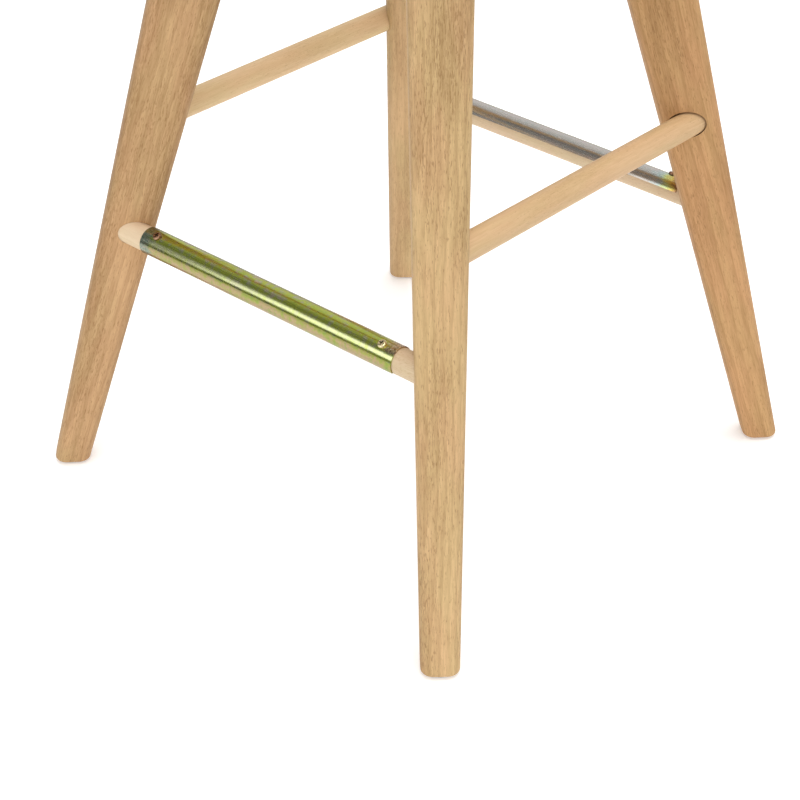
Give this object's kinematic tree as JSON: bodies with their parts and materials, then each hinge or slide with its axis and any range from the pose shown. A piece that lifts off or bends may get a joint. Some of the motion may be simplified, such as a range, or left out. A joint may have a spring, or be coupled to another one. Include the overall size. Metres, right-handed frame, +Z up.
{
  "type": "bar stool",
  "caption": "Wooden bar stool with splayed, tapered legs, round rungs, half-round metal covers on the lower footrest rungs and a round, gently dished seat.",
  "frame": {"origin": "on the floor, under the middle of the seat", "axes": "+Z up; the covered footrest rungs run along Y on the left (-X) and right (+X), the plain upper rungs run along X at the front (-Y) and back (+Y)"},
  "size_m": [0.508, 0.4974, 0.745],
  "materials": {
    "leg_wood": "clear matt lacquer on a light tan open-pored hardwood",
    "rung_wood": "clear matt lacquer on pale close-grained beech",
    "rail_wood": "clear matt lacquer, sawn and sanded",
    "seat_wood": "clear satin lacquer on edge-glued staves",
    "dowel_wood": "plain turned beech",
    "yellow_zinc_cover": "zinc plated and yellow passivated, glossy with a rainbow tint",
    "yellow_zinc_screw": "zinc plated and yellow passivated",
    "bright_steel": "bright zinc",
    "glide_nylon": "dark grey nylon"
  },
  "bodies": {
    "root": {"cover_screws_left": "yellow_zinc_screw", "cover_screws_right": "yellow_zinc_screw", "footrest_cover_left": "yellow_zinc_cover", "footrest_cover_right": "yellow_zinc_cover", "footrest_rung_left": "rung_wood", "footrest_rung_right": "rung_wood", "glide_back_left": "glide_nylon", "glide_back_right": "glide_nylon", "glide_front_left": "glide_nylon", "glide_front_right": "glide_nylon", "glide_nails": "bright_steel", "leg_back_left": "leg_wood", "leg_back_right": "leg_wood", "leg_front_left": "leg_wood", "leg_front_right": "leg_wood", "rail_lower": "rail_wood", "rail_lower_dowels": "dowel_wood", "rail_upper": "rail_wood", "rail_upper_dowels": "dowel_wood", "seat": "seat_wood", "seat_screws": "bright_steel", "seat_washers": "bright_steel", "upper_rung_back": "rung_wood", "upper_rung_front": "rung_wood"}
  },
  "joints": []
}
